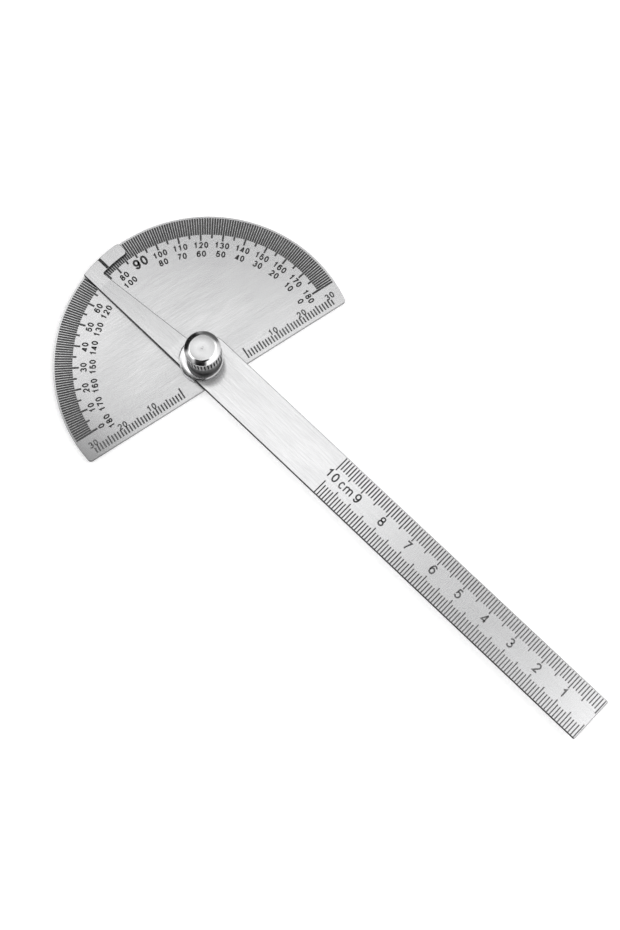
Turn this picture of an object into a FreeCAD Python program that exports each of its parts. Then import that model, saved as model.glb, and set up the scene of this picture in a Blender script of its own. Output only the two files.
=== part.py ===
"""Round-head protractor with a swinging ruler arm.

Frame, in millimetres: the origin is on the pivot axis, on the flat back face of the pivot stud's head, which is
the lowest face of the object. +X runs along the straight base edge of the head, +Y points from the pivot to the
top of its arc, and +Z points up, towards the thumb nut.
The arm is first drawn in its own frame, with +X from the pivot to the tip of the rule, and then turned into place.
"""
import FreeCAD, Part
import math
import os

V = FreeCAD.Vector
Z_AXIS = V(0, 0, 1)

# Head plate
HEAD_RADIUS = 45.3
BASE_DROP = 7.5
PLATE_THICKNESS = 1.0
HEAD_CORNER_RADIUS = 1.1
SHEET_EDGE_BREAK = 0.15

# Ruler arm
ARM_WIDTH = 14.3
ARM_SIDE_OFFSET = 0.45
ARM_REACH = 151.4
ARM_THICKNESS = 1.0
ARM_TIP_CORNER = 0.4
ARM_READING = 77.25
POINTER_ROOT_WIDTH = 7.5
POINTER_TIP_WIDTH = 4.5
SHOULDER_FILLET = 2.2
TAB_DEPTH = 4.25
TAB_CORNER_RADIUS = 1.3
TAB_THROAT_FILLET = 0.5
BEND_AFTER_SHOULDER = 2.0
BEND_BEFORE_TAB = 3.0

# Pivot stud
STUD_HEAD_RADIUS = 4.5
STUD_HEAD_THICKNESS = 1.0
STUD_HEAD_CHAMFER = 0.25
SHOULDER_RADIUS = 2.5
SHOULDER_SHORT_OF_ARM = 0.2
THREAD_RADIUS = 2.0
THREAD_END_CHAMFER = 0.4

# Washers
SPACER_RADIUS = 5.6
SPACER_THICKNESS = 0.5
SPACER_BORE_CLEARANCE = 0.15
WASHER_RADIUS = 6.6
WASHER_THICKNESS = 1.0
WASHER_BORE_RADIUS = 3.2
WASHER_EDGE_BREAK = 0.3
WASHER_LEAN_ANGLE = 148.0

# Thumb nut
COLLAR_RADIUS = 5.0
COLLAR_HEIGHT = 5.7
COLLAR_CHAMFER = 0.2
KNURL_RADIUS = 5.35
KNURL_HEIGHT = 3.4
KNURL_EDGE_BREAK = 0.3
CROWN_ROUND = 1.0
CROWN_SWEEP = 80.0
CROWN_DOME_RISE = 0.1
DIMPLE_RADIUS = 0.4
FLUTE_COUNT = 34
FLUTE_DEPTH = 0.3
FLUTE_LAND = 0.2
NUT_BORE_DEPTH = 8.2
STUD_IN_NUT = 7.4

# Graduations, cut as V grooves
GRADUATION_DEPTH = 0.12
CUT_ABOVE_SURFACE = 0.03
DEGREE_WIDTH = 0.42
DEGREE_RIM_MARGIN = 0.6
DEGREE_LENGTH = 5.3
FIVE_DEGREE_LENGTH = 6.4
TEN_DEGREE_LENGTH = 7.2
RIGHT_ANGLE_LENGTH = 6.3
BASE_LINE_WIDTH = 0.55
BASE_MARK_WIDTH = 0.42
BASE_MARK_MARGIN = 1.15
BASE_MARK_LENGTH = 2.25
BASE_FIVE_LENGTH = 2.75
BASE_TEN_LENGTH = 1.8
BASE_ZERO_LENGTH = 3.55
BASE_ZERO_OFFSET = 11.2
BASE_END_ROOM = 2.0
RULE_LENGTH = 100
RULE_ZERO_INSET = 0.6
RULE_EDGE_MARGIN = 0.3
RULE_MARK_WIDTH = 0.33
RULE_MARK_LENGTH = 3.7
RULE_FIVE_LENGTH = 4.7
INDEX_WIDTH = 0.6
INDEX_INNER_MARGIN = 0.45

# Fits
PIVOT_CLEARANCE = 0.05
THREAD_CLEARANCE = 0.05
WASHER_SIDE_CLEARANCE = 0.05
RUBBING_GAP = 0.02

# Heights of the stack, from the stud's back face upwards
PLATE_BOTTOM = STUD_HEAD_THICKNESS
PLATE_TOP = PLATE_BOTTOM + PLATE_THICKNESS
SPACER_BOTTOM = PLATE_TOP + RUBBING_GAP
ARM_BOTTOM = SPACER_BOTTOM + SPACER_THICKNESS
ARM_TOP = ARM_BOTTOM + ARM_THICKNESS
WASHER_BOTTOM = ARM_TOP + RUBBING_GAP
WASHER_TOP = WASHER_BOTTOM + WASHER_THICKNESS
NUT_BOTTOM = WASHER_TOP + RUBBING_GAP
TAB_BOTTOM = PLATE_TOP + RUBBING_GAP
SHOULDER_TOP = ARM_TOP - SHOULDER_SHORT_OF_ARM
STUD_TOP = NUT_BOTTOM + STUD_IN_NUT

ARM_RIGHT = ARM_SIDE_OFFSET + ARM_WIDTH / 2
ARM_LEFT = ARM_SIDE_OFFSET - ARM_WIDTH / 2
TAB_INNER_RADIUS = HEAD_RADIUS - TAB_DEPTH


def closed_face(edges):
    """A plane face bounded by the edges, given in any order."""
    return Part.Face(Part.Wire(Part.__sortEdges__(edges)))


def line(start, end):
    return Part.LineSegment(start, end).toShape()


def arc(start, middle, end):
    return Part.Arc(start, middle, end).toShape()


def polar(radius, degrees):
    angle = math.radians(degrees)
    return V(radius * math.cos(angle), radius * math.sin(angle), 0)


def revolved(points):
    """A solid turned about the Z axis from a closed half section of (radius, height) points."""
    corners = [V(radius, 0, height) for radius, height in points]
    section = Part.Face(Part.makePolygon(corners + corners[:1]))
    return section.revolve(V(0, 0, 0), Z_AXIS, 360)


def upright_edges(shape, spots, tolerance=0.05):
    """The edges that stand upright on the given plan points."""
    found = []
    for edge in shape.Edges:
        foot = edge.Vertexes[0].Point
        head = edge.Vertexes[-1].Point
        if math.hypot(foot.x - head.x, foot.y - head.y) > tolerance:
            continue
        if any(math.hypot(foot.x - spot.x, foot.y - spot.y) < tolerance for spot in spots):
            found.append(edge)
    return found


def rim_edges(shape, height, keep):
    """The edges that lie flat at a height and whose middle point passes the test."""
    found = []
    for edge in shape.Edges:
        box = edge.BoundBox
        if abs(box.ZMin - height) > 1e-4 or abs(box.ZMax - height) > 1e-4:
            continue
        if keep(edge.valueAt((edge.FirstParameter + edge.LastParameter) / 2)):
            found.append(edge)
    return found


def v_groove(length, width):
    """A cutter for one engraved line, lying along +X from the origin, with its V below the plane z = 0."""
    half = width / 2 * (1 + CUT_ABOVE_SURFACE / GRADUATION_DEPTH)
    root = V(0, 0, -GRADUATION_DEPTH)
    left = V(0, half, CUT_ABOVE_SURFACE)
    right = V(0, -half, CUT_ABOVE_SURFACE)
    section = Part.Face(Part.makePolygon([root, left, right, root]))
    return section.extrude(V(length, 0, 0))


def placed(cutter, start, degrees):
    """The cutter turned about its origin and moved to the start of its line."""
    cutter.rotate(V(0, 0, 0), Z_AXIS, degrees)
    cutter.translate(start)
    return cutter


def degree_lines():
    """One radial line for each degree from 0 to 180, longer at the fives and tens."""
    outer = HEAD_RADIUS - DEGREE_RIM_MARGIN
    lines = []
    for degree in range(181):
        length = DEGREE_LENGTH
        if degree == 90:
            length = RIGHT_ANGLE_LENGTH
        elif degree % 10 == 0:
            length = TEN_DEGREE_LENGTH
        elif degree % 5 == 0:
            length = FIVE_DEGREE_LENGTH
        width = BASE_LINE_WIDTH if degree % 180 == 0 else DEGREE_WIDTH
        start = polar(outer, degree) + V(0, 0, PLATE_TOP)
        lines.append(placed(v_groove(length, width), start, degree + 180))
    return lines


def base_lines():
    """A millimetre scale at each end of the base edge, counted outwards, with as many whole centimetres as fit."""
    mark_y = -BASE_DROP + BASE_MARK_MARGIN
    room = math.sqrt(HEAD_RADIUS ** 2 - BASE_DROP ** 2) - BASE_END_ROOM - BASE_ZERO_OFFSET
    lines = []
    for side in (-1, 1):
        for mark in range(10 * int(room / 10) + 1):
            length = BASE_MARK_LENGTH
            if mark == 0:
                length = BASE_ZERO_LENGTH
            elif mark % 10 == 0:
                length = BASE_TEN_LENGTH
            elif mark % 5 == 0:
                length = BASE_FIVE_LENGTH
            start = V(side * (BASE_ZERO_OFFSET + mark), mark_y, PLATE_TOP)
            lines.append(placed(v_groove(length, BASE_MARK_WIDTH), start, 90))
    return lines


def head_plate():
    """Circle cut off by the base edge, with round corners, broken edges, the stud's hole and its three scales."""
    corner_x = math.sqrt(HEAD_RADIUS ** 2 - BASE_DROP ** 2)
    right = V(corner_x, -BASE_DROP, 0)
    left = V(-corner_x, -BASE_DROP, 0)
    outline = closed_face([arc(right, V(0, HEAD_RADIUS, 0), left), line(left, right)])
    plate = outline.extrude(V(0, 0, PLATE_THICKNESS))
    plate = plate.makeFillet(HEAD_CORNER_RADIUS, upright_edges(plate, [right, left]))
    rims = rim_edges(plate, 0, lambda p: True) + rim_edges(plate, PLATE_THICKNESS, lambda p: True)
    plate = plate.makeChamfer(SHEET_EDGE_BREAK, rims)
    plate.translate(V(0, 0, PLATE_BOTTOM))
    hole = Part.makeCylinder(SHOULDER_RADIUS, PLATE_THICKNESS, V(0, 0, PLATE_BOTTOM))
    return plate.cut([hole] + degree_lines() + base_lines())


def arm_blank():
    """The flat outline of the arm: rule, shoulder about the pivot, tapered pointer and curved index tab."""
    root_right = ARM_LEFT + POINTER_ROOT_WIDTH
    throat_right = ARM_LEFT + POINTER_TIP_WIDTH
    tip_low = V(ARM_REACH, ARM_LEFT, 0)
    tip_high = V(ARM_REACH, ARM_RIGHT, 0)
    shoulder_start = V(0, ARM_RIGHT, 0)
    root = V(-math.sqrt(ARM_RIGHT ** 2 - root_right ** 2), root_right, 0)
    shoulder_middle = polar(ARM_RIGHT, 135)
    throat = V(-math.sqrt(TAB_INNER_RADIUS ** 2 - throat_right ** 2), throat_right, 0)
    inner_end = V(-math.sqrt(TAB_INNER_RADIUS ** 2 - ARM_RIGHT ** 2), ARM_RIGHT, 0)
    outer_end = V(-math.sqrt(HEAD_RADIUS ** 2 - ARM_RIGHT ** 2), ARM_RIGHT, 0)
    outer_start = V(-math.sqrt(HEAD_RADIUS ** 2 - ARM_LEFT ** 2), ARM_LEFT, 0)
    edges = [
        line(tip_low, tip_high),
        line(tip_high, shoulder_start),
        arc(shoulder_start, shoulder_middle, root),
        line(root, throat),
        arc(throat, V(-TAB_INNER_RADIUS, 0, 0), inner_end),
        line(inner_end, outer_end),
        arc(outer_end, V(-HEAD_RADIUS, 0, 0), outer_start),
        line(outer_start, tip_low),
    ]
    blank = closed_face(edges).extrude(V(0, 0, WASHER_TOP))
    blank = blank.makeFillet(SHOULDER_FILLET, upright_edges(blank, [root]))
    blank = blank.makeFillet(TAB_THROAT_FILLET, upright_edges(blank, [throat]))
    blank = blank.makeFillet(TAB_CORNER_RADIUS, upright_edges(blank, [inner_end, outer_end]))
    return blank.makeFillet(ARM_TIP_CORNER, upright_edges(blank, [tip_low, tip_high, outer_start]))


def arm_strip():
    """The arm's side section drawn across its width: level rule, pointer set down until the tab lies on the scale."""
    bend_high = -(ARM_RIGHT + BEND_AFTER_SHOULDER)
    bend_low = -(TAB_INNER_RADIUS - BEND_BEFORE_TAB)
    beyond_tip = ARM_REACH + ARM_WIDTH
    beyond_tab = -(HEAD_RADIUS + ARM_WIDTH)
    under = [(beyond_tip, ARM_BOTTOM), (bend_high, ARM_BOTTOM), (bend_low, TAB_BOTTOM), (beyond_tab, TAB_BOTTOM)]
    over = [(x, z + ARM_THICKNESS) for x, z in reversed(under)]
    corners = [V(x, -ARM_WIDTH, z) for x, z in under + over]
    section = Part.Face(Part.makePolygon(corners + corners[:1]))
    return section.extrude(V(0, 2 * ARM_WIDTH, 0))


def outline_edges(shape):
    """The edges along the arm's outline, on its upper and lower faces, without the bend lines across it."""
    found = []
    for edge in shape.Edges:
        faces = shape.ancestorsOfType(edge, Part.Face)
        steep = 0
        for face in faces:
            low, high, left, right = face.ParameterRange
            normal = face.normalAt((low + high) / 2, (left + right) / 2)
            if abs(normal.z) < 0.5:
                steep += 1
        if steep == 1:
            found.append(edge)
    return found


def rule_lines():
    """A millimetre rule along both edges, counted from the tip towards the pivot."""
    lines = []
    for side, edge in ((-1, ARM_LEFT), (1, ARM_RIGHT)):
        for mark in range(int(RULE_LENGTH) + 1):
            length = RULE_FIVE_LENGTH if mark % 5 == 0 else RULE_MARK_LENGTH
            start = V(ARM_REACH - RULE_ZERO_INSET - mark, edge - side * RULE_EDGE_MARGIN, ARM_TOP)
            lines.append(placed(v_groove(length, RULE_MARK_WIDTH), start, -90 * side))
    return lines


def index_line():
    """The line across the index tab, pointing at the pivot and open at the tab's outer edge."""
    inner = TAB_INNER_RADIUS + INDEX_INNER_MARGIN
    start = V(-inner, 0, TAB_BOTTOM + ARM_THICKNESS)
    return placed(v_groove(TAB_DEPTH, INDEX_WIDTH), start, 180)


def ruler_arm():
    """Rule, pointer and index tab in one bent stamping with broken edges, bored to turn on the stud."""
    arm = arm_blank().common(arm_strip()).Solids[0]
    arm = arm.makeChamfer(SHEET_EDGE_BREAK, outline_edges(arm))
    bore = Part.makeCylinder(SHOULDER_RADIUS + PIVOT_CLEARANCE, ARM_THICKNESS, V(0, 0, ARM_BOTTOM))
    arm = arm.cut([bore, index_line()] + rule_lines())
    arm.rotate(V(0, 0, 0), Z_AXIS, -ARM_READING)
    return arm


def pivot_stud():
    """Flat head on the back, shoulder pressed in the plate that the arm turns on, and threaded shank."""
    return revolved([
        (0, 0),
        (STUD_HEAD_RADIUS - STUD_HEAD_CHAMFER, 0),
        (STUD_HEAD_RADIUS, STUD_HEAD_CHAMFER),
        (STUD_HEAD_RADIUS, STUD_HEAD_THICKNESS),
        (SHOULDER_RADIUS, STUD_HEAD_THICKNESS),
        (SHOULDER_RADIUS, SHOULDER_TOP),
        (THREAD_RADIUS, SHOULDER_TOP),
        (THREAD_RADIUS, STUD_TOP - THREAD_END_CHAMFER),
        (THREAD_RADIUS - THREAD_END_CHAMFER, STUD_TOP),
        (0, STUD_TOP),
    ])


def ring(outer, bore, thickness, bottom):
    body = Part.makeCylinder(outer, thickness, V(0, 0, bottom))
    return body.cut(Part.makeCylinder(bore, thickness, V(0, 0, bottom)))


def spacer_washer():
    """Thin friction washer that the arm rubs on."""
    bore = SHOULDER_RADIUS + SPACER_BORE_CLEARANCE
    return ring(SPACER_RADIUS, bore, SPACER_THICKNESS, SPACER_BOTTOM)


def top_washer():
    """Polished washer with a broken rim. Its bore is wide for the thread, so it lies against one side of it."""
    washer = ring(WASHER_RADIUS, WASHER_BORE_RADIUS, WASHER_THICKNESS, WASHER_BOTTOM)
    beyond_bore = lambda p: math.hypot(p.x, p.y) > (WASHER_RADIUS + WASHER_BORE_RADIUS) / 2
    rims = [edge for edge in washer.Edges
            if len(edge.Vertexes) == 1 and beyond_bore(edge.valueAt(edge.FirstParameter))]
    washer = washer.makeChamfer(WASHER_EDGE_BREAK, rims)
    lean = WASHER_BORE_RADIUS - THREAD_RADIUS - WASHER_SIDE_CLEARANCE
    washer.translate(polar(lean, WASHER_LEAN_ANGLE))
    return washer


def flute(knurl_bottom, knurl_top):
    """One V groove of the knurl, standing on the +X side, as long as the band and open at its outside."""
    step = 2 * math.pi * KNURL_RADIUS / FLUTE_COUNT
    half = (step - FLUTE_LAND) / 2
    beyond = KNURL_RADIUS + FLUTE_DEPTH
    root = V(KNURL_RADIUS - FLUTE_DEPTH, 0, knurl_bottom)
    left = V(beyond, 2 * half, knurl_bottom)
    right = V(beyond, -2 * half, knurl_bottom)
    section = Part.Face(Part.makePolygon([root, left, right, root]))
    return section.extrude(V(0, 0, knurl_top - knurl_bottom))


def thumb_nut():
    """Plain collar, knurled band and domed crown with a centre dimple, on a blind bore for the stud."""
    knurl_bottom = NUT_BOTTOM + COLLAR_HEIGHT
    knurl_top = knurl_bottom + KNURL_HEIGHT
    crown_base = knurl_top + KNURL_EDGE_BREAK
    bore_radius = THREAD_RADIUS + THREAD_CLEARANCE
    step_out = KNURL_RADIUS - COLLAR_RADIUS
    crown_radius = KNURL_RADIUS - KNURL_EDGE_BREAK
    round_middle = polar(CROWN_ROUND, CROWN_SWEEP / 2)
    round_end = polar(CROWN_ROUND, CROWN_SWEEP)
    round_centre = crown_radius - CROWN_ROUND
    dome_top = crown_base + round_end.y + CROWN_DOME_RISE
    outline = [
        V(bore_radius, 0, NUT_BOTTOM),
        V(COLLAR_RADIUS - COLLAR_CHAMFER, 0, NUT_BOTTOM),
        V(COLLAR_RADIUS, 0, NUT_BOTTOM + COLLAR_CHAMFER),
        V(COLLAR_RADIUS, 0, knurl_bottom),
        V(KNURL_RADIUS, 0, knurl_bottom + step_out),
        V(KNURL_RADIUS, 0, knurl_top),
        V(crown_radius, 0, crown_base),
    ]
    inside = [
        V(round_centre + round_end.x, 0, crown_base + round_end.y),
        V(DIMPLE_RADIUS, 0, dome_top),
        V(0, 0, dome_top - DIMPLE_RADIUS / 2),
        V(0, 0, NUT_BOTTOM + NUT_BORE_DEPTH + bore_radius / 2),
        V(bore_radius, 0, NUT_BOTTOM + NUT_BORE_DEPTH),
        outline[0],
    ]
    edges = [line(a, b) for a, b in zip(outline[:-1], outline[1:])]
    edges.append(arc(outline[-1], V(round_centre + round_middle.x, 0, crown_base + round_middle.y), inside[0]))
    edges += [line(a, b) for a, b in zip(inside[:-1], inside[1:])]
    nut = closed_face(edges).revolve(V(0, 0, 0), Z_AXIS, 360)
    flutes = []
    for index in range(FLUTE_COUNT):
        groove = flute(knurl_bottom, crown_base)
        groove.rotate(V(0, 0, 0), Z_AXIS, index * 360 / FLUTE_COUNT)
        flutes.append(groove)
    return nut.cut(flutes)


PIECES = {
    "head_plate": head_plate,
    "pivot_stud": pivot_stud,
    "spacer_washer": spacer_washer,
    "ruler_arm": ruler_arm,
    "top_washer": top_washer,
    "thumb_nut": thumb_nut,
}

os.makedirs("parts", exist_ok=True)
for name, make in PIECES.items():
    shape = make()
    shape.exportStep("parts/" + name + ".step")
    box = shape.BoundBox
    print(name, shape.ShapeType, len(shape.Solids), "solids, valid", shape.isValid(),
          "volume", round(shape.Volume, 2), "z", round(box.ZMin, 3), "to", round(box.ZMax, 3))
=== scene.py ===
"""Looks of the round-head protractor: brushed steel, inked graduations and numerals, turned nut and washer.

Lengths in the constants are millimetres, turned into metres by MM, and angles are degrees. The frame is that
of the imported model: origin on the pivot axis, +X along the base edge, +Y to the top of the arc, +Z up.
"""
import math

import bmesh
import bpy
from mathutils import Matrix, Vector


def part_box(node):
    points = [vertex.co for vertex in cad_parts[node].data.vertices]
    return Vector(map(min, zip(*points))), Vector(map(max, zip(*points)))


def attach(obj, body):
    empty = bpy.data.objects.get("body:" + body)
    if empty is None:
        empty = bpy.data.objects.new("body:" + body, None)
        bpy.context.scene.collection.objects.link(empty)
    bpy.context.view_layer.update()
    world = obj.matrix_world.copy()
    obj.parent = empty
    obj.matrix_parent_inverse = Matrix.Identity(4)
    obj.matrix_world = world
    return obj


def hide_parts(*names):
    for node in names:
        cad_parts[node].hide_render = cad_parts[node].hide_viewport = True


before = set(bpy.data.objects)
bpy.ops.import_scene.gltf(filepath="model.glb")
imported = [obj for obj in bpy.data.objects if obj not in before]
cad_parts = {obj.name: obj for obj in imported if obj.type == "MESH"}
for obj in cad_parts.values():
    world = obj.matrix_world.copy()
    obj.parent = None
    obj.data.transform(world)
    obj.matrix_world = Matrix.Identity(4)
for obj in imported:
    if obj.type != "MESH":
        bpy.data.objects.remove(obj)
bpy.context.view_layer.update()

MM = 0.001

# Head plate. Places and lengths of its marks are those of the part's source. Their widths are those that the
# photograph shows, a little more than the grooves of the source.
HEAD_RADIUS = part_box("head_plate")[1][1] / MM
BASE_EDGE_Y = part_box("head_plate")[0][1] / MM
PLATE_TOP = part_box("head_plate")[1][2] / MM
RIGHT_ANGLE = 90
STRAIGHT_ANGLE = 180
DEGREE_WIDTH = 0.57
DEGREE_RIM_MARGIN = 0.6
DEGREE_LENGTH = 5.3
FIVE_DEGREE_LENGTH = 6.4
TEN_DEGREE_LENGTH = 7.2
RIGHT_ANGLE_LENGTH = 6.3
BASE_LINE_WIDTH = 0.62
BASE_MARK_WIDTH = 0.5
BASE_MARK_MARGIN = 1.15
BASE_MARK_LENGTH = 2.25
BASE_FIVE_LENGTH = 2.75
BASE_TEN_LENGTH = 1.8
BASE_ZERO_LENGTH = 3.55
BASE_ZERO_OFFSET = 11.2
BASE_MARKS = 30

# Ruler arm, with marks as on the head. The index line is longer than its groove, too.
ARM_READING = 77.25
ARM_WIDTH = 14.3
ARM_SIDE_OFFSET = 0.45
ARM_REACH = 151.4
ARM_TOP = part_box("ruler_arm")[1][2] / MM
ARM_THICKNESS = 1.0
TAB_DEPTH = 4.25
TAB_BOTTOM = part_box("ruler_arm")[0][2] / MM
INDEX_WIDTH = 0.95
INDEX_INNER_MARGIN = 0.2
INDEX_OUTER_MARGIN = 0.15
RULE_MARKS = 100
RULE_ZERO_INSET = 0.6
RULE_EDGE_MARGIN = 0.3
RULE_MARK_WIDTH = 0.39
RULE_MARK_LENGTH = 3.7
RULE_FIVE_LENGTH = 4.7

# Ink of the scales and numerals, a little proud of the sheet
INK_SINK = 0.02
INK_PROUD = 0.008
OUTER_ROW_RADIUS = 36.15
INNER_ROW_RADIUS = 33.4
ROW_DIGIT_HEIGHT = 2.0
ROW_DIGIT_WEIGHT = 0.42
RIGHT_ANGLE_RADIUS = 36.7
RIGHT_ANGLE_HEIGHT = 3.2
RIGHT_ANGLE_WEIGHT = 0.64
BASE_DIGIT_HEIGHT = 2.0
BASE_DIGIT_WEIGHT = 0.4
BASE_DIGIT_Y = -3.35
BASE_DIGIT_SHIFT = 0.3
RULE_DIGIT_HEIGHT = 2.95
RULE_DIGIT_WEIGHT = 0.47
RULE_DIGIT_OFFSET = 0.85
LAST_SINGLE_DIGIT = 9
LAST_DIGIT_SHIFT = 0.3
TEN_REACH = 51.2
UNIT_HEIGHT = 2.3
UNIT_WEIGHT = 0.42
UNIT_OFFSET = 0.45
UNIT_REACH = 56.7
MITRE_LIMIT = 0.35

# Washer
WASHER_RADIUS = 6.6
WASHER_BORE_RADIUS = 3.2
WASHER_BEVEL = 0.32
WASHER_LEAN = 1.15
WASHER_LEAN_ANGLE = 148.0
WASHER_FOOT_ROUND = 0.2
WASHER_RIM_ROUND = 0.05
WASHER_BEVEL_ROUND = 0.03
WASHER_BORE_ROUND = 0.1
WASHER_SEGMENTS = 128

# Nut. Its collar is shorter and its knurl taller than in the part's source, as the photograph shows.
COLLAR_RADIUS = 5.0
COLLAR_HEIGHT = 4.6
COLLAR_FOOT_ROUND = 0.2
COLLAR_SEAM = 0.05
KNURL_RADIUS = 5.35
KNURL_HEIGHT = 4.5
KNURL_LEVELS = 12
FLUTE_COUNT = 34
FLUTE_DEPTH = 0.3
FLUTE_RUNOUT = 0.35
FLUTE_FULLNESS = 0.8
STEPS_PER_FLUTE = 12
CROWN_DISC_RADIUS = 3.75
CROWN_DISC_RISE = 0.04
CROWN_DISC_ROUND = 0.5
CROWN_RISE = 0.85
CROWN_RIM_ROUND = 0.35
CROWN_SHOULDER_OUT = 0.5
CROWN_SHOULDER_DROP = 0.2
CROWN_SHOULDER_ROUND = 0.7
CROWN_DIMPLE = ((0.6, 0.005), (0.3, 0.015), (0.0, 0.025))  # radius, depth below the top
NUT_BORE_RADIUS = 2.05
NUT_BORE_DEPTH = 8.2
NUT_BORE_ROUND = 0.15

# Meshes, with the angles from which an edge is sharp
SAME_POINT = 1e-6
SMOOTH_ANGLE = 35
FLAT_SHADED = 0

# The range that most values of a noise fill
NOISE_RANGE = (0.3, 0.7)

# Brushed sheets. Each noise has the size of its streaks along and across the grain, and its detail.
FINE_LINES = (2.6, 0.07, 4.0)
COARSE_LINES = (8.0, 0.5, 3.0)
CLOUDS = (26.0, 9.0, 2.0)
STREAK_NOISE_ROUGHNESS = 0.6
FINE_SHARE = 0.45
LINES_SHARE = 0.7
SHEET_ROUGHNESS_CHANGE = (0.04, -0.03)
SHEET_BUMP = 0.18
SHEET_BUMP_HEIGHT = 0.003
SHEET_METALLIC = 0.8
SHEET_ANISOTROPY = 0.4
# Painted shade on the sheets' sheared walls and chamfers, which darkens their colour and their grazing
# reflection
SHEARED_WALL_PAINTED_SHADE = 0.03
SHEARED_WALL_SHADE_BLEND = 0.15
# Painted shade on the head: its lower left corner is darker, standing in for a dimmer reflection there
HEAD_PAINTED_SHADE_SIDE = ((-0.94, -0.34), 29, 46, 0.55)  # direction, near, far, share of the tone left at the far end
# Painted shade in a strip along the arm's left edge, for the dark reflection of its rolled edge and the
# shadow in the gap under the arm
ARM_EDGE_PAINTED_SHADE_WIDTH = 0.38
ARM_EDGE_PAINTED_SHADE_BLEND = 0.6
ARM_EDGE_PAINTED_SHADE = 0.1

# Turned metal. Tone and roughness vary between shares of what a finish asks for.
RING_DETAIL = 3.0
RING_SHARE = 0.6
RING_BUMP = 0.3
PATCHES_PER_MM = 0.35
TURNED_TONE_SPREAD = 0.93
TURNED_ROUGHNESS_SPREAD = (0.7, 1.4)
# Painted shade on the washer's upright rim wall
WASHER_RIM_PAINTED_SHADE = 0.03
WASHER_RIM_SLOPE = (0.15, 0.6)
# Painted shade on the nut: near black in the flutes, darker on the lands, and on the collar darker towards
# the bottom
FLUTE_PAINTED_SHADE = 0.04
LAND_PAINTED_SHADE = 0.6
COLLAR_PAINTED_SHADE = (0.18, 0.42)
COLLAR_ROUGHNESS = 0.35
KNURL_ROUGHNESS = 0.3
KNURL_METALLIC = 0.65
ZONE_BLEND = 0.2

# Ink. Paling towards the tip is the share of the way from dark to light, between two distances from the
# pivot.
INK_SPECKS_PER_MM = 1.2
INK_SPECK_DETAIL = 3.0
INK_PATCHES_PER_MM = 0.06
INK_CONTRAST = (0.35, 0.65)
INK_ROUGHNESS = (0.45, 0.65)
INK_SPECULAR = 0.3
TIP_PALENESS = 0.75
TIP_PALENESS_REACH = (62, 115)

# Greys carry a trace of blue
DARK_BLUE_SHARE = 1.01
LIGHT_BLUE_SHARE = 1.005

# Sky, as levels and angles above the horizon. Each panel has its direction, the angle about it within which
# the change is whole, the angle beyond which there is none, and the change as a share of the level.
SKY_LEVEL = 1.62
HORIZON_LEVEL = 0.55
HORIZON_FADE = (22, 44)
SEEN_LEVEL = 1.0
SKY_PANELS = (
    ((0.146, 0.048, 0.988), 1, 6.5, -0.9),
    ((0.16, -0.09, 0.985), 5, 12, -0.15),
    ((-0.06, 0.24, 0.97), 3, 9, -0.95),
    ((0.10, 0.47, 0.877), 4, 11, -0.75),
    ((0.24, 0.35, 0.90), 4, 11, -0.8),
    ((0.115, 0.18, 0.977), 2, 7, -0.28),
    ((-0.475, -0.39, 0.788), 17, 28, -0.97),
    ((-0.62, -0.66, 0.40), 16, 28, -0.95),
    ((-0.13, -0.36, 0.92), 9, 15, -0.9),
    ((-0.20, 0.90, 0.40), 24, 40, -0.97),
    ((0.72, 0.60, 0.35), 18, 36, -0.75),
    ((-1.0, 0.0, 0.12), 18, 40, -0.9),
)

# Floor and lamp
FLOOR_SIZE = 3000
FLOOR_TONE = 0.9
FLOOR_ROUGHNESS = 0.9
FLOOR_LIFT = 0.4
LAMP_PLACE = (-280, 520, 820)
LAMP_TARGET = (0, -50, 0)
LAMP_SIZE = 500
LAMP_WATTS = 0.5

# The camera of the photograph
CAMERA_PLACE = (-39.74, -127.90, 433.68)
CAMERA_TURN = (12.684, 0.774, -33.118)
CAMERA_LENS = 59.02
CAMERA_SENSOR = 36.0
CAMERA_NEAR = 10


# Places in plan

def polar(radius, degrees):
    return Vector((radius * math.cos(math.radians(degrees)), radius * math.sin(math.radians(degrees))))


ALONG_ARM = polar(1, -ARM_READING)
ACROSS_ARM = Vector((-ALONG_ARM.y, ALONG_ARM.x))


def on_arm(reach, offset):
    return ALONG_ARM * reach + ACROSS_ARM * offset


# Objects

def add_object(name, mesh, material):
    piece = bpy.data.objects.new(name, mesh)
    bpy.context.scene.collection.objects.link(piece)
    mesh.materials.append(material)
    return piece


def finished_mesh(name, bm, smooth_angle):
    """The mesh with outward normals, smooth but for edges sharper than the angle, or all flat shaded."""
    bmesh.ops.recalc_face_normals(bm, faces=bm.faces)
    mesh = bpy.data.meshes.new(name)
    bm.to_mesh(mesh)
    bm.free()
    mesh.polygons.foreach_set("use_smooth", [smooth_angle > 0] * len(mesh.polygons))
    if smooth_angle > 0:
        mesh.set_sharp_from_angle(angle=math.radians(smooth_angle))
    return mesh


def ink_piece(name, bm, material):
    return add_object(name, finished_mesh(name, bm, FLAT_SHADED), material)


# Shader nodes. Each helper adds its nodes to a tree and returns the output socket.

def new_material(name):
    material = bpy.data.materials.new(name)
    material.use_nodes = True
    shader = material.node_tree.nodes["Principled BSDF"]
    return material, material.node_tree, shader


def add_node(tree, kind, **settings):
    node = tree.nodes.new(kind)
    for key, value in settings.items():
        setattr(node, key, value)
    return node


def coordinates(tree, kind="Object"):
    return add_node(tree, "ShaderNodeTexCoord").outputs[kind]


def split(tree, vector):
    """The outputs X, Y and Z of a vector."""
    node = add_node(tree, "ShaderNodeSeparateXYZ")
    tree.links.new(vector, node.inputs[0])
    return node.outputs


def scaled(tree, vector, factors):
    node = add_node(tree, "ShaderNodeVectorMath", operation="MULTIPLY")
    tree.links.new(vector, node.inputs[0])
    node.inputs[1].default_value = factors
    return node.outputs["Vector"]


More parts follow.
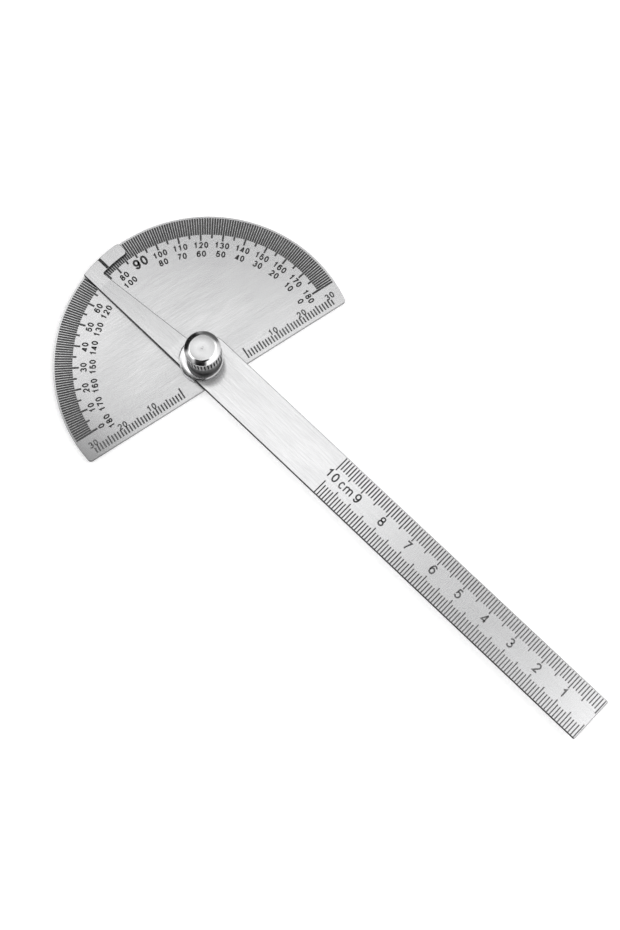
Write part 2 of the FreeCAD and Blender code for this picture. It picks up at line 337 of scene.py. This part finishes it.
def distance_along(tree, vector, direction):
    """How far a place lies along a direction, which may be given in plan."""
    node = add_node(tree, "ShaderNodeVectorMath", operation="DOT_PRODUCT")
    tree.links.new(vector, node.inputs[0])
    node.inputs[1].default_value = Vector(direction).to_3d()
    return node.outputs["Value"]


def distance_from_axis(tree, vector):
    node = add_node(tree, "ShaderNodeVectorMath", operation="LENGTH")
    tree.links.new(scaled(tree, vector, (1, 1, 0)), node.inputs[0])
    return node.outputs["Value"]


def maths(tree, operation, first, second=0):
    node = add_node(tree, "ShaderNodeMath", operation=operation)
    for socket, value in zip(node.inputs, (first, second)):
        if isinstance(value, (int, float)):
            socket.default_value = value
        else:
            tree.links.new(value, socket)
    return node.outputs["Value"]


def blended(tree, first, second, first_share):
    return maths(tree, "ADD", maths(tree, "MULTIPLY", first, first_share),
                 maths(tree, "MULTIPLY", second, 1 - first_share))


def mapped(tree, value, low, high, from_low=NOISE_RANGE[0], from_high=NOISE_RANGE[1]):
    """The value's range, by default the one that most noise fills, mapped to low and high and held there."""
    node = add_node(tree, "ShaderNodeMapRange")
    node.inputs["From Min"].default_value = from_low
    node.inputs["From Max"].default_value = from_high
    node.inputs["To Min"].default_value = low
    node.inputs["To Max"].default_value = high
    tree.links.new(value, node.inputs["Value"])
    return node.outputs["Result"]


def noise(tree, vector, scale=1.0, detail=2.0, roughness=0.5):
    node = add_node(tree, "ShaderNodeTexNoise")
    node.inputs["Scale"].default_value = scale
    node.inputs["Detail"].default_value = detail
    node.inputs["Roughness"].default_value = roughness
    tree.links.new(vector, node.inputs["Vector"])
    return node.outputs["Fac"]


def streaks(tree, grain, along, across, detail):
    """Noise drawn out along the grain's angle; along and across are the sizes of its streaks."""
    mapping = add_node(tree, "ShaderNodeMapping")
    mapping.inputs["Rotation"].default_value = (0, 0, math.radians(-grain))
    tree.links.new(coordinates(tree), mapping.inputs["Vector"])
    factors = [1 / (size * MM) for size in (along, across, across)]
    place = scaled(tree, mapping.outputs["Vector"], factors)
    return noise(tree, place, detail=detail, roughness=STREAK_NOISE_ROUGHNESS)


def grey_ramp(tree, value, dark, light):
    """Blends from a dark to a light grey by a value from 0 to 1."""
    ramp = add_node(tree, "ShaderNodeValToRGB")
    first, last = ramp.color_ramp.elements
    first.color = (dark, dark, dark * DARK_BLUE_SHARE, 1)
    last.color = (light, light, light * LIGHT_BLUE_SHARE, 1)
    tree.links.new(value, ramp.inputs["Fac"])
    return ramp.outputs["Color"]


def add_bump(tree, shader, height, strength, size):
    bump = add_node(tree, "ShaderNodeBump")
    bump.inputs["Strength"].default_value = strength
    bump.inputs["Distance"].default_value = size * MM
    tree.links.new(height, bump.inputs["Height"])
    tree.links.new(bump.outputs["Normal"], shader.inputs["Normal"])


# Materials

def dull_metal(material, level):
    """Paints shade on the metal: scales its colour and sets its grazing reflection by a level from 0 to 1.

    On a second call the colour is scaled once more, and the new level alone sets the grazing reflection.
    """
    tree = material.node_tree
    shader = tree.nodes["Principled BSDF"]
    mix = add_node(tree, "ShaderNodeMix", data_type="RGBA")
    dark, bright = mix.inputs[6], mix.inputs[7]
    dark.default_value = (0, 0, 0, 1)
    tree.links.new(level, mix.inputs["Factor"])
    tree.links.new(shader.inputs["Base Color"].links[0].from_socket, bright)
    tree.links.new(mix.outputs[2], shader.inputs["Base Color"])
    tree.links.new(level, shader.inputs["Specular Tint"])


def upright_shade(tree, darkness, low, high):
    """Painted shade, from the darkness where the surface stands upright to 1 where it lies flat, by its
    normal's Z.
    """
    facing = maths(tree, "ABSOLUTE", split(tree, coordinates(tree, "Normal"))["Z"])
    return mapped(tree, facing, darkness, 1, low, high)


def side_shade(tree, direction, near, far, left_over):
    """Painted shade, from 1 at the near distance along a plan direction to what is left over at the far one.
    """
    reach = distance_along(tree, coordinates(tree), direction)
    return mapped(tree, reach, 1, left_over, near * MM, far * MM)


def brushed_sheet(name, grain, tones, roughness, flat_from, painted_shade_side):
    """Satin stainless sheet: fine grinding lines along the grain, cloudy tone, and sheared edges dark in
    painted shade.

    Where the normal's Z is below flat_from, as on a chamfer, the sheet is as dark as its edges, in painted
    shade.
    It also dims towards one side in painted shade, as the side shade function takes it.
    """
    material, tree, shader = new_material(name)
    fine, coarse, clouds = [
        mapped(tree, streaks(tree, grain, *pattern), 0, 1)
        for pattern in (FINE_LINES, COARSE_LINES, CLOUDS)
    ]
    lines = blended(tree, fine, coarse, FINE_SHARE)
    tone = blended(tree, lines, clouds, LINES_SHARE)
    tree.links.new(grey_ramp(tree, tone, *tones), shader.inputs["Base Color"])
    rough, smooth = [roughness + change for change in SHEET_ROUGHNESS_CHANGE]
    tree.links.new(mapped(tree, tone, rough, smooth, 0, 1), shader.inputs["Roughness"])
    add_bump(tree, shader, lines, SHEET_BUMP, SHEET_BUMP_HEIGHT)
    tangent = add_node(tree, "ShaderNodeVectorTransform", vector_type="VECTOR",
                       convert_from="OBJECT", convert_to="WORLD")
    tangent.inputs[0].default_value = polar(1, grain).to_3d()
    tree.links.new(tangent.outputs[0], shader.inputs["Tangent"])
    shader.inputs["Metallic"].default_value = SHEET_METALLIC
    shader.inputs["Anisotropic"].default_value = SHEET_ANISOTROPY
    dull_metal(material, upright_shade(tree, SHEARED_WALL_PAINTED_SHADE, flat_from, flat_from + SHEARED_WALL_SHADE_BLEND))
    dull_metal(material, side_shade(tree, *painted_shade_side))
    return material


def turned_metal(name, tone, roughness, ring_size, ring_height):
    """Lathe-turned metal: fine rings about the pivot axis in roughness and bump, with faint uneven tone."""
    material, tree, shader = new_material(name)
    place = coordinates(tree)
    across_rings = add_node(tree, "ShaderNodeCombineXYZ")
    radius = distance_from_axis(tree, place)
    height = split(tree, place)["Z"]
    tree.links.new(maths(tree, "DIVIDE", radius, ring_size * MM), across_rings.inputs["X"])
    tree.links.new(maths(tree, "DIVIDE", height, ring_size * MM), across_rings.inputs["Z"])
    rings = noise(tree, across_rings.outputs[0], detail=RING_DETAIL)
    patches = noise(tree, place, scale=PATCHES_PER_MM / MM)
    mixed = blended(tree, rings, patches, RING_SHARE)
    colour = grey_ramp(tree, mapped(tree, mixed, 0, 1), tone * TURNED_TONE_SPREAD, tone)
    tree.links.new(colour, shader.inputs["Base Color"])
    low, high = [roughness * share for share in TURNED_ROUGHNESS_SPREAD]
    tree.links.new(mapped(tree, mixed, low, high), shader.inputs["Roughness"])
    add_bump(tree, shader, rings, RING_BUMP, ring_height)
    shader.inputs["Metallic"].default_value = 1.0
    return material


def washer_finish():
    material = turned_metal("washer_polished", tone=1.0, roughness=0.08, ring_size=0.2, ring_height=0.002)
    # Painted shade darkens the washer's upright rim wall and its grazing reflection
    dull_metal(material, upright_shade(material.node_tree, WASHER_RIM_PAINTED_SHADE, *WASHER_RIM_SLOPE))
    return material


def nut_finish():
    """Bright metal on the crown; a rough collar and a matt knurl, both in painted shade, darkest deep in the
    flutes.
    """
    material = turned_metal("nut_bright_metal", tone=0.78, roughness=0.12, ring_size=0.15,
                            ring_height=0.002)
    tree = material.node_tree
    shader = tree.nodes["Principled BSDF"]
    place = coordinates(tree)
    height = split(tree, place)["Z"]
    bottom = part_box("thumb_nut")[0][2]
    knurl_low = bottom + COLLAR_HEIGHT * MM
    knurl_high = knurl_low + KNURL_HEIGHT * MM
    blend = ZONE_BLEND * MM
    crown = mapped(tree, height, 0, 1, knurl_high + blend, knurl_high + 2 * blend)
    collar = mapped(tree, height, 1, 0, knurl_low, knurl_low + blend)
    knurl = maths(tree, "SUBTRACT", 1, maths(tree, "MAXIMUM", crown, collar))

    roughness = shader.inputs["Roughness"]
    added = maths(tree, "ADD", maths(tree, "MULTIPLY", collar, COLLAR_ROUGHNESS),
                  maths(tree, "MULTIPLY", knurl, KNURL_ROUGHNESS))
    tree.links.new(maths(tree, "ADD", roughness.links[0].from_socket, added), roughness)
    tree.links.new(mapped(tree, knurl, 1, KNURL_METALLIC, 0, 1), shader.inputs["Metallic"])

    # Painted shade: near black deep in the flutes, less dark on the lands, and the collar darker towards the
    # bottom
    half_deep = (KNURL_RADIUS - 0.5 * FLUTE_DEPTH) * MM
    radius = distance_from_axis(tree, place)
    flutes = mapped(tree, radius, FLUTE_PAINTED_SHADE, LAND_PAINTED_SHADE, half_deep, KNURL_RADIUS * MM)
    collar_painted_shade = maths(tree, "MULTIPLY", collar, mapped(tree, height, *COLLAR_PAINTED_SHADE, bottom, knurl_low))
    dull_metal(material, maths(tree, "MAXIMUM", maths(tree, "MAXIMUM", flutes, crown), collar_painted_shade))
    return material


def etched_ink(name, dark, light, patchiness, pale_tip=False):
    """Dark etched fill, uneven in fine specks and, by the share of patchiness, in broad patches.

    It may also grow paler along the arm towards the tip, as it does on the rule.
    """
    material, tree, shader = new_material(name)
    place = coordinates(tree)
    specks = noise(tree, place, INK_SPECKS_PER_MM / MM, INK_SPECK_DETAIL)
    patches = noise(tree, place, INK_PATCHES_PER_MM / MM)
    tone = mapped(tree, blended(tree, patches, specks, patchiness), 0, 1, *INK_CONTRAST)
    if pale_tip:
        near, far = [reach * MM for reach in TIP_PALENESS_REACH]
        paling = mapped(tree, distance_along(tree, place, ALONG_ARM), 0, TIP_PALENESS, near, far)
        tone = maths(tree, "ADD", maths(tree, "MULTIPLY", tone, 1 - TIP_PALENESS), paling)
    tree.links.new(grey_ramp(tree, tone, dark, light), shader.inputs["Base Color"])
    tree.links.new(mapped(tree, specks, *INK_ROUGHNESS), shader.inputs["Roughness"])
    shader.inputs["Specular IOR Level"].default_value = INK_SPECULAR
    return material


# Ink strokes

def ink_level(surface):
    """Turns plan points, with heights 0 and 1, into the ink layer on a surface."""
    size = Matrix.Diagonal((MM, MM, (INK_SINK + INK_PROUD) * MM, 1))
    return Matrix.Translation((0, 0, (surface - INK_SINK) * MM)) @ size


def add_stroke(bm, points, weight, place):
    """A closed flat bar of even width along the points; the last point may close the loop on the first."""
    looped = (Vector(points[0]) - Vector(points[-1])).length < SAME_POINT
    spine = [Vector(point) for point in (points[:-1] if looped else points)]
    count = len(spine)
    rows = []
    for index, here in enumerate(spine):
        before = spine[index - 1] if looped or index > 0 else None
        after = spine[(index + 1) % count] if looped or index < count - 1 else None
        arrive = (here - before).normalized() if before is not None else (after - here).normalized()
        leave = (after - here).normalized() if after is not None else arrive
        middle = (arrive + leave).normalized()
        reach = weight / 2 / max(MITRE_LIMIT, middle.dot(leave))
        side = Vector((-middle.y, middle.x)) * reach
        corners = ((here + side, 1), (here - side, 1), (here - side, 0), (here + side, 0))
        rows.append([bm.verts.new(place @ Vector((spot.x, spot.y, level))) for spot, level in corners])
    for index in range(count if looped else count - 1):
        near, far = rows[index], rows[(index + 1) % count]
        for a in range(4):
            b = (a + 1) % 4
            bm.faces.new((near[a], far[a], far[b], near[b]))
    if not looped:
        bm.faces.new(rows[0])
        bm.faces.new(reversed(rows[-1]))


def add_ink_line(bm, start, direction, length, width, surface):
    start = Vector(start)
    add_stroke(bm, [start, start + Vector(direction) * length], width, ink_level(surface))


# Graduations

def degree_ink(material):
    bm = bmesh.new()
    for degree in range(STRAIGHT_ANGLE + 1):
        length = DEGREE_LENGTH
        if degree == RIGHT_ANGLE:
            length = RIGHT_ANGLE_LENGTH
        elif degree % 10 == 0:
            length = TEN_DEGREE_LENGTH
        elif degree % 5 == 0:
            length = FIVE_DEGREE_LENGTH
        width = BASE_LINE_WIDTH if degree % STRAIGHT_ANGLE == 0 else DEGREE_WIDTH
        start = polar(HEAD_RADIUS - DEGREE_RIM_MARGIN, degree)
        add_ink_line(bm, start, -polar(1, degree), length, width, PLATE_TOP)
    return ink_piece("degree_scale_ink", bm, material)


def base_ink(material):
    bm = bmesh.new()
    for side in (-1, 1):
        for mark in range(BASE_MARKS + 1):
            length = BASE_MARK_LENGTH
            if mark == 0:
                length = BASE_ZERO_LENGTH
            elif mark % 10 == 0:
                length = BASE_TEN_LENGTH
            elif mark % 5 == 0:
                length = BASE_FIVE_LENGTH
            start = (side * (BASE_ZERO_OFFSET + mark), BASE_EDGE_Y + BASE_MARK_MARGIN)
            add_ink_line(bm, start, (0, 1), length, BASE_MARK_WIDTH, PLATE_TOP)
    return ink_piece("base_scale_ink", bm, material)


def rule_ink(material):
    bm = bmesh.new()
    for side in (-1, 1):
        edge = ARM_SIDE_OFFSET + side * (ARM_WIDTH / 2 - RULE_EDGE_MARGIN)
        for mark in range(RULE_MARKS + 1):
            length = RULE_FIVE_LENGTH if mark % 5 == 0 else RULE_MARK_LENGTH
            start = on_arm(ARM_REACH - RULE_ZERO_INSET - mark, edge)
            add_ink_line(bm, start, -side * ACROSS_ARM, length, RULE_MARK_WIDTH, ARM_TOP)
    return ink_piece("rule_scale_ink", bm, material)


def index_ink(material):
    bm = bmesh.new()
    inner = HEAD_RADIUS - TAB_DEPTH + INDEX_INNER_MARGIN
    length = HEAD_RADIUS - inner - INDEX_OUTER_MARGIN
    add_ink_line(bm, on_arm(-inner, 0), -ALONG_ARM, length, INDEX_WIDTH, TAB_BOTTOM + ARM_THICKNESS)
    return ink_piece("index_line_ink", bm, material)


# Numerals, drawn as strokes of even width in a box 1 wide and 1 high

def bow(x, y, reach_x, reach_y, start, end, steps=14):
    """Points of an elliptic arc between two angles."""
    points = []
    for step in range(steps + 1):
        angle = math.radians(start + (end - start) * step / steps)
        points.append((x + reach_x * math.cos(angle), y + reach_y * math.sin(angle)))
    return points


def half_turned(strokes):
    return [[(1 - x, 1 - y) for x, y in stroke] for stroke in strokes]


SIX = [bow(0.5, 0.32, 0.5, 0.32, 180, 540, 24), bow(0.56, 0.5, 0.56, 0.5, 38, 180) + [(0.0, 0.32)]]
GLYPHS = {
    "0": [bow(0.5, 0.5, 0.5, 0.5, 90, 450, 28)],
    "1": [[(0.08, 0.74), (0.58, 0.98), (0.58, 0.0)]],
    "2": [bow(0.5, 0.71, 0.49, 0.29, 172, -32) + [(0.03, 0.0), (1.0, 0.0)]],
    "3": [bow(0.47, 0.745, 0.45, 0.255, 165, -90), bow(0.47, 0.265, 0.53, 0.265, 90, -165)],
    "4": [[(0.76, 1.0), (0.0, 0.24), (1.0, 0.24)], [(0.78, 1.0), (0.78, 0.0)]],
    "5": [[(0.93, 1.0), (0.2, 1.0)] + bow(0.48, 0.325, 0.52, 0.325, 139, -163, 18)],
    "6": SIX,
    "7": [[(0.0, 1.0), (1.0, 1.0), (0.68, 0.62), (0.45, 0.28), (0.36, 0.0)]],
    "8": [bow(0.5, 0.75, 0.42, 0.25, 90, 450, 24), bow(0.5, 0.265, 0.5, 0.265, 90, 450, 24)],
    "9": half_turned(SIX),
    "c": [bow(0.5, 0.5, 0.5, 0.5, 42, 318, 20)],
    "m": [[(0.0, 0.0), (0.0, 1.0)], bow(0.25, 0.72, 0.25, 0.28, 180, 0) + [(0.5, 0.0)],
          bow(0.75, 0.72, 0.25, 0.28, 180, 0) + [(1.0, 0.0)]],
}
GLYPH_WIDTHS = {"c": 0.72, "m": 1.2}
DIGIT_WIDTH = 0.64
GLYPH_GAP = 0.14


def add_label(bm, text, centre, degrees, height, weight, surface):
    """A label centred on a point of the sheet, its tops turned by the angle from +Y."""
    widths = [GLYPH_WIDTHS.get(sign, DIGIT_WIDTH) * height for sign in text]
    total = sum(widths) + GLYPH_GAP * height * (len(text) - 1)
    turn = Matrix.Rotation(math.radians(degrees), 4, "Z")
    place = ink_level(surface) @ Matrix.Translation((centre[0], centre[1], 0)) @ turn
    left = -total / 2
    low = -height / 2 + weight / 2
    for sign, width in zip(text, widths):
        start = left + weight / 2
        for stroke in GLYPHS[sign]:
            points = [(start + x * (width - weight), low + y * (height - weight)) for x, y in stroke]
            add_stroke(bm, points, weight, place)
        left += width + GLYPH_GAP * height


def degree_numbers(material):
    """Two rows that count opposite ways, and one large 90 that both share."""
    bm = bmesh.new()
    for reading in range(0, STRAIGHT_ANGLE + 1, 10):
        if reading == RIGHT_ANGLE:
            continue
        for radius, angle in ((OUTER_ROW_RADIUS, STRAIGHT_ANGLE - reading), (INNER_ROW_RADIUS, reading)):
            add_label(bm, str(reading), polar(radius, angle), angle - RIGHT_ANGLE, ROW_DIGIT_HEIGHT,
                      ROW_DIGIT_WEIGHT, PLATE_TOP)
    add_label(bm, str(RIGHT_ANGLE), (0, RIGHT_ANGLE_RADIUS), 0, RIGHT_ANGLE_HEIGHT, RIGHT_ANGLE_WEIGHT,
              PLATE_TOP)
    return ink_piece("degree_numbers", bm, material)


def base_numbers(material):
    bm = bmesh.new()
    for side in (-1, 1):
        for mark in range(10, BASE_MARKS + 1, 10):
            centre = (side * (BASE_ZERO_OFFSET + mark) + BASE_DIGIT_SHIFT, BASE_DIGIT_Y)
            add_label(bm, str(mark), centre, 0, BASE_DIGIT_HEIGHT, BASE_DIGIT_WEIGHT, PLATE_TOP)
    return ink_piece("base_numbers", bm, material)


def rule_numbers(material):
    """1 to 9 at their centimetres, with the 9 a little nearer the tip, then the 10 and the unit."""
    bm = bmesh.new()
    zero = ARM_REACH - RULE_ZERO_INSET
    reaches = {str(mark): zero - 10 * mark for mark in range(1, LAST_SINGLE_DIGIT + 1)}
    reaches[str(LAST_SINGLE_DIGIT)] += LAST_DIGIT_SHIFT
    reaches["10"] = TEN_REACH
    for text, reach in reaches.items():
        add_label(bm, text, on_arm(reach, RULE_DIGIT_OFFSET), -ARM_READING, RULE_DIGIT_HEIGHT,
                  RULE_DIGIT_WEIGHT, ARM_TOP)
    add_label(bm, "cm", on_arm(UNIT_REACH, UNIT_OFFSET), -ARM_READING, UNIT_HEIGHT, UNIT_WEIGHT, ARM_TOP)
    return ink_piece("rule_numbers", bm, material)


# Turned pieces

def rounded(corners, steps):
    """The (radius, height) points of a profile of (radius, height, fillet) corners, each fillet an arc."""
    points = []
    for index, (radius, height, fillet) in enumerate(corners):
        here = Vector((radius, height))
        if not fillet:
            points.append(here)
            continue
        to_last = (Vector(corners[index - 1][:2]) - here).normalized()
        to_next = (Vector(corners[(index + 1) % len(corners)][:2]) - here).normalized()
        half = to_last.angle(to_next) / 2
        setback = fillet / math.tan(half)
        centre = here + (to_last + to_next).normalized() * (fillet / math.sin(half))
        first = here + to_last * setback - centre
        last = here + to_next * setback - centre
        sweep = first.angle_signed(last)
        for step in range(steps + 1):
            turn = Matrix.Rotation(-sweep * step / steps, 2)
            points.append(centre + turn @ first)
    return points


def lathe(name, points, segments, centre=(0, 0), radius_at=None):
    """A closed surface of revolution. Points on the axis become poles, and radius_at may dent a radius."""
    bm = bmesh.new()
    rings = []
    for point in points:
        if point.x < SAME_POINT:
            rings.append([bm.verts.new((centre[0] * MM, centre[1] * MM, point.y * MM))])
            continue
        ring = []
        for step in range(segments):
            angle = 2 * math.pi * step / segments
            radius = radius_at(point.x, point.y, step) if radius_at else point.x
            spot = (centre[0] + radius * math.cos(angle), centre[1] + radius * math.sin(angle), point.y)
            ring.append(bm.verts.new(Vector(spot) * MM))
        rings.append(ring)
    closed = len(rings[0]) > 1
    pairs = zip(rings, rings[1:] + rings[:1]) if closed else zip(rings, rings[1:])
    for low, high in pairs:
        for step in range(segments):
            after = (step + 1) % segments
            if len(low) == 1:
                bm.faces.new((low[0], high[step], high[after]))
            elif len(high) == 1:
                bm.faces.new((low[step], high[0], low[after]))
            else:
                bm.faces.new((low[step], high[step], high[after], low[after]))
    return finished_mesh(name, bm, SMOOTH_ANGLE)


def nut_mesh():
    """Collar, fluted band, bevelled crown and gently domed disc with a centre dimple, hollow for the stud."""
    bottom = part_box("thumb_nut")[0][2] / MM
    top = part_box("thumb_nut")[1][2] / MM
    knurl_low = bottom + COLLAR_HEIGHT
    knurl_high = knurl_low + KNURL_HEIGHT
    bore_top = bottom + NUT_BORE_DEPTH
    points = rounded([
        (0, bore_top + NUT_BORE_RADIUS / 2, 0),
        (NUT_BORE_RADIUS, bore_top, 0),
        (NUT_BORE_RADIUS, bottom, NUT_BORE_ROUND),
        (COLLAR_RADIUS, bottom, COLLAR_FOOT_ROUND),
        (COLLAR_RADIUS, knurl_low - COLLAR_SEAM, 0),
    ], steps=5)
    for level in range(KNURL_LEVELS + 1):
        height = knurl_low + (knurl_high - knurl_low) * level / KNURL_LEVELS
        rise = min(1.0, (height - knurl_low) / FLUTE_RUNOUT)
        points.append(Vector((COLLAR_RADIUS + (KNURL_RADIUS - COLLAR_RADIUS) * rise, height)))
    disc_edge = top - CROWN_DISC_RISE
    points += rounded([
        (KNURL_RADIUS, knurl_high, 0),
        (KNURL_RADIUS, disc_edge - CROWN_RISE, CROWN_RIM_ROUND),
        (CROWN_DISC_RADIUS + CROWN_SHOULDER_OUT, disc_edge - CROWN_SHOULDER_DROP, CROWN_SHOULDER_ROUND),
        (CROWN_DISC_RADIUS, disc_edge, CROWN_DISC_ROUND),
        (0, top, 0),
    ], steps=8)[1:-1]
    points += [Vector((radius, top - depth)) for radius, depth in CROWN_DIMPLE]

    def radius_at(radius, height, step):
        """The radius dented by the flutes, which run out at both ends of the knurl."""
        end = knurl_high + FLUTE_RUNOUT
        if height < knurl_low or height > end or radius < COLLAR_RADIUS:
            return radius
        runout = min(1.0, (height - knurl_low) / FLUTE_RUNOUT, (end - height) / FLUTE_RUNOUT)
        phase = (step % STEPS_PER_FLUTE) / STEPS_PER_FLUTE
        dent = max(0.0, math.cos(2 * math.pi * phase)) ** FLUTE_FULLNESS
        return radius - FLUTE_DEPTH * runout * dent

    return lathe("thumb_nut_turned", points, FLUTE_COUNT * STEPS_PER_FLUTE, radius_at=radius_at)


def washer_mesh():
    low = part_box("top_washer")[0][2] / MM
    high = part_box("top_washer")[1][2] / MM
    points = rounded([
        (WASHER_RADIUS, low, WASHER_FOOT_ROUND),
        (WASHER_RADIUS, high - WASHER_BEVEL, WASHER_RIM_ROUND),
        (WASHER_RADIUS - WASHER_BEVEL, high, WASHER_BEVEL_ROUND),
        (WASHER_BORE_RADIUS, high, WASHER_BORE_ROUND),
        (WASHER_BORE_RADIUS, low, WASHER_BORE_ROUND),
    ], steps=4)
    centre = polar(WASHER_LEAN, WASHER_LEAN_ANGLE)
    return lathe("top_washer_polished", points, WASHER_SEGMENTS, centre)


# Light, floor and camera

def panel(tree, direction, inner, outer):
    """A soft round spot on the sky: 1 inside the inner angle about a direction, 0 outside the outer one."""
    spot = add_node(tree, "ShaderNodeMapRange", interpolation_type="SMOOTHSTEP")
    spot.inputs["From Min"].default_value = math.cos(math.radians(outer))
    spot.inputs["From Max"].default_value = math.cos(math.radians(inner))
    cosine = distance_along(tree, coordinates(tree, "Generated"), Vector(direction).normalized())
    tree.links.new(cosine, spot.inputs["Value"])
    return spot.outputs["Result"]


def build_world():
    """A bright studio tent, dim along the horizon, with soft dark panels. The camera itself sees it white."""
    world = bpy.data.worlds.new("studio")
    world.use_nodes = True
    bpy.context.scene.world = world
    tree = world.node_tree
    background = tree.nodes["Background"]
    low, high = [math.sin(math.radians(angle)) for angle in HORIZON_FADE]
    height = split(tree, coordinates(tree, "Generated"))["Z"]
    level = mapped(tree, height, HORIZON_LEVEL, SKY_LEVEL, low, high)
    for direction, inner, outer, change in SKY_PANELS:
        shade = maths(tree, "MULTIPLY", panel(tree, direction, inner, outer), change)
        level = maths(tree, "MULTIPLY", level, maths(tree, "ADD", shade, 1.0))
    rays = add_node(tree, "ShaderNodeLightPath")
    mix = add_node(tree, "ShaderNodeMix", data_type="FLOAT")
    unseen, seen = mix.inputs[2], mix.inputs[3]
    tree.links.new(rays.outputs["Is Camera Ray"], mix.inputs["Factor"])
    tree.links.new(level, unseen)
    seen.default_value = SEEN_LEVEL
    tree.links.new(mix.outputs[0], background.inputs["Strength"])
    background.inputs["Color"].default_value = (1, 1, 1, 1)


def build_floor():
    """A matt floor, lifted towards white where the camera or a reflection sees it."""
    bm = bmesh.new()
    bmesh.ops.create_grid(bm, x_segments=1, y_segments=1, size=FLOOR_SIZE * MM / 2)
    mesh = bpy.data.meshes.new("floor")
    bm.to_mesh(mesh)
    bm.free()
    material, tree, shader = new_material("floor_white")
    shader.inputs["Base Color"].default_value = (FLOOR_TONE, FLOOR_TONE, FLOOR_TONE, 1)
    shader.inputs["Roughness"].default_value = FLOOR_ROUGHNESS
    shader.inputs["Specular IOR Level"].default_value = 0.0
    glow = add_node(tree, "ShaderNodeEmission")
    glow.inputs["Strength"].default_value = FLOOR_LIFT
    lifted = add_node(tree, "ShaderNodeAddShader")
    tree.links.new(shader.outputs[0], lifted.inputs[0])
    tree.links.new(glow.outputs[0], lifted.inputs[1])
    rays = add_node(tree, "ShaderNodeLightPath")
    seen = maths(tree, "MAXIMUM", rays.outputs["Is Camera Ray"], rays.outputs["Is Glossy Ray"])
    mix = add_node(tree, "ShaderNodeMixShader")
    tree.links.new(seen, mix.inputs["Fac"])
    tree.links.new(shader.outputs[0], mix.inputs[1])
    tree.links.new(lifted.outputs[0], mix.inputs[2])
    tree.links.new(mix.outputs[0], tree.nodes["Material Output"].inputs["Surface"])
    floor = add_object("floor", mesh, material)


def build_lamp():
    lamp = bpy.data.lights.new("overhead", "AREA")
    lamp.shape = "DISK"
    lamp.size = LAMP_SIZE * MM
    lamp.energy = LAMP_WATTS
    holder = bpy.data.objects.new("overhead", lamp)
    holder.location = Vector(LAMP_PLACE) * MM
    aim = Vector(LAMP_TARGET) - Vector(LAMP_PLACE)
    holder.rotation_euler = aim.to_track_quat("-Z", "Y").to_euler()
    bpy.context.scene.collection.objects.link(holder)


def build_camera():
    camera = bpy.data.cameras.new("camera")
    camera.lens = CAMERA_LENS
    camera.sensor_width = CAMERA_SENSOR
    camera.sensor_fit = "AUTO"
    camera.clip_start = CAMERA_NEAR * MM
    holder = bpy.data.objects.new("camera", camera)
    holder.location = Vector(CAMERA_PLACE) * MM
    holder.rotation_euler = [math.radians(angle) for angle in CAMERA_TURN]
    bpy.context.scene.collection.objects.link(holder)
    bpy.context.scene.camera = holder


# The part

def dress(node, material):
    """Gives a CAD node that stays in view its finish."""
    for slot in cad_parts[node].material_slots:
        slot.material = material


def dress_cad_nodes():
    """The sheets, stud and spacer. The arm's dim side is painted shade along the rolled edge that its
    stamping left.
    """
    # The head's lower left corner is darker in painted shade
    dress("head_plate", brushed_sheet("head_brushed_steel", grain=0, tones=(0.76, 1.0), roughness=0.18,
                                      flat_from=0.6, painted_shade_side=HEAD_PAINTED_SHADE_SIDE))
    edge = ARM_WIDTH / 2 - ARM_SIDE_OFFSET
    die_roll_painted_shade = (-ACROSS_ARM, edge - ARM_EDGE_PAINTED_SHADE_WIDTH, edge - ARM_EDGE_PAINTED_SHADE_BLEND * ARM_EDGE_PAINTED_SHADE_WIDTH, ARM_EDGE_PAINTED_SHADE)
    dress("ruler_arm", brushed_sheet("arm_brushed_steel", grain=-ARM_READING, tones=(0.80, 1.0),
                                     roughness=0.17, flat_from=0.7, painted_shade_side=die_roll_painted_shade))
    dress("pivot_stud", turned_metal("stud_turned_steel", tone=0.6, roughness=0.3, ring_size=0.12,
                                     ring_height=0.004))
    dress("spacer_washer", turned_metal("spacer_steel", tone=0.6, roughness=0.3, ring_size=0.2,
                                        ring_height=0.003))


def build_pieces():
    black = etched_ink("etched_black", dark=0.04, light=0.09, patchiness=0.4)
    number_grey = etched_ink("etched_number_grey", dark=0.02, light=0.06, patchiness=0.5)
    base_grey = etched_ink("etched_base_grey", dark=0.07, light=0.16, patchiness=0.5)
    rule_grey = etched_ink("etched_rule_grey", dark=0.025, light=0.2, patchiness=0.5, pale_tip=True)
    on_head = (degree_ink(black), base_ink(base_grey), degree_numbers(number_grey), base_numbers(base_grey))
    for piece in on_head:
        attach(piece, "head")
    on_rule = (rule_ink(rule_grey), index_ink(number_grey), rule_numbers(rule_grey))
    for piece in on_rule:
        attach(piece, "arm")

    nut = add_object("thumb_nut_turned", nut_mesh(), nut_finish())
    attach(nut, "nut")
    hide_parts("thumb_nut")
    washer = add_object("top_washer_polished", washer_mesh(), washer_finish())
    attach(washer, "washer")
    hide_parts("top_washer")


bpy.context.scene.view_settings.view_transform = "Standard"
build_camera()
build_world()
build_floor()
build_lamp()
dress_cad_nodes()
build_pieces()
